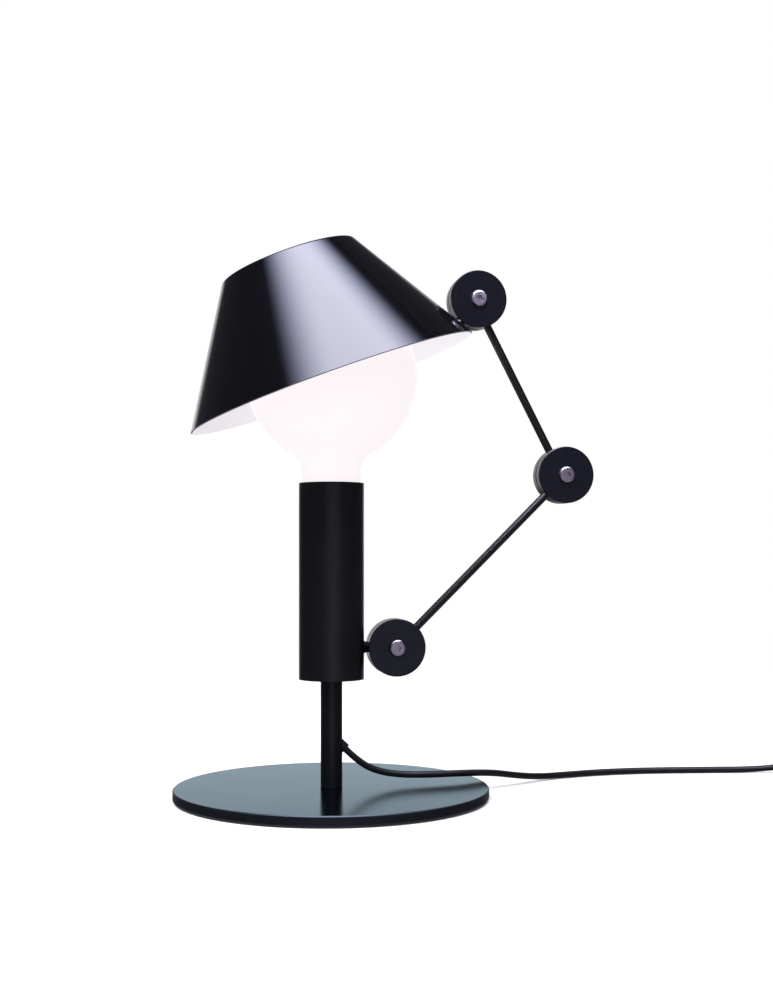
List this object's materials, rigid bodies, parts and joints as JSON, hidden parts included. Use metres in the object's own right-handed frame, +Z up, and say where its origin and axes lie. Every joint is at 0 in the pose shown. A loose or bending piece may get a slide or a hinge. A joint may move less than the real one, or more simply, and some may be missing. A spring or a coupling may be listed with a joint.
{
  "type": "desk lamp",
  "caption": "Desk lamp with an opal globe bulb on a pole and a cone shade that a jointed two-rod arm holds over it like a hat.",
  "frame": {"origin": "centre of the base's underside, on the surface the lamp stands on", "axes": "+Z up, +X from the body tube towards the arm, so that the arm folds in the XZ plane; the viewer of the picture stands on the -Y side"},
  "size_m": [0.5879, 0.22, 0.3902],
  "materials": {
    "plate_steel": "satin powder coat",
    "felt": "thin felt",
    "black_steel": "matt black",
    "black_disc": "satin black",
    "shade_metal": "gloss black outside, matt white inside",
    "screw_steel": "bright zinc",
    "washer_plastic": "nylon",
    "opal_glass": "opal, slightly glowing",
    "cap_metal": "plain",
    "brass": "plain",
    "black_plastic": "fine texture",
    "cord_black": "round sheath"
  },
  "bodies": {
    "root": {"base_plate": "plate_steel", "base_pad": "felt", "pole": "black_steel", "body_tube": "black_steel", "body_floor": "black_steel", "hip_stud": "black_steel", "hip_rear_disc": "black_disc", "base_bolt": "screw_steel", "body_collar": "screw_steel", "collar_grub_screw": "screw_steel", "holder_nipple": "screw_steel", "holder_nut": "screw_steel", "hip_pivot_screw": "screw_steel", "hip_nut": "screw_steel", "hip_fixing_screw": "screw_steel", "hip_saddle": "screw_steel", "switch_screws": "screw_steel", "rocker_pin": "screw_steel", "hip_washer": "washer_plastic", "bulb_glass": "opal_glass", "bulb_cap": "cap_metal", "bulb_tip": "cap_metal", "holder_shell": "brass", "holder_tongue": "brass", "switch_contacts": "brass", "plug_pins": "brass", "holder_body": "black_plastic", "holder_carrier": "black_plastic", "bulb_insulator": "black_plastic", "switch_top": "black_plastic", "switch_bottom": "black_plastic", "plug_body": "black_plastic", "cord_inner": "cord_black", "cord_lead": "cord_black", "cord_tail": "cord_black", "cord_coil": "cord_black", "cord_end": "cord_black", "cord_grommet": "cord_black", "inner_leads": "cord_black", "coil_tie": "cord_black"},
    "lower_arm": {"hip_front_disc": "black_disc", "lower_rod": "black_steel", "elbow_front_disc": "black_disc"},
    "upper_arm": {"elbow_rear_disc": "black_disc", "upper_rod": "black_steel", "hand_rear_disc": "black_disc", "elbow_washer": "washer_plastic", "elbow_pivot_screw": "screw_steel", "elbow_nut": "screw_steel", "hand_washer": "washer_plastic", "hand_pivot_screw": "screw_steel", "hand_nut": "screw_steel"},
    "shade_head": {"hand_front_disc": "black_disc", "shade_stud": "black_steel", "shade_fixing_screw": "screw_steel", "shade": "shade_metal"},
    "rocker": {"switch_rocker": "black_plastic"}
  },
  "joints": [
    {"name": "hip", "type": "hinge", "parent": "root", "child": "lower_arm", "pos_m": [0.04535, 0, 0.1046], "axis": [0, 1, 0], "range_deg": [-6, 6]},
    {"name": "elbow", "type": "hinge", "parent": "lower_arm", "child": "upper_arm", "pos_m": [0.16733, 0, 0.22658], "axis": [0, 1, 0], "range_deg": [-1, 110]},
    {"name": "hand", "type": "hinge", "parent": "upper_arm", "child": "shade_head", "pos_m": [0.10356, 0, 0.3501], "axis": [0, 1, 0], "range_deg": [-3, 90]},
    {"name": "switch", "type": "hinge", "parent": "root", "child": "rocker", "pos_m": [0.408, 0.0446, 0.0126], "axis": [0.1564, 0.9877, 0], "range_deg": [0, 16]}
  ]
}
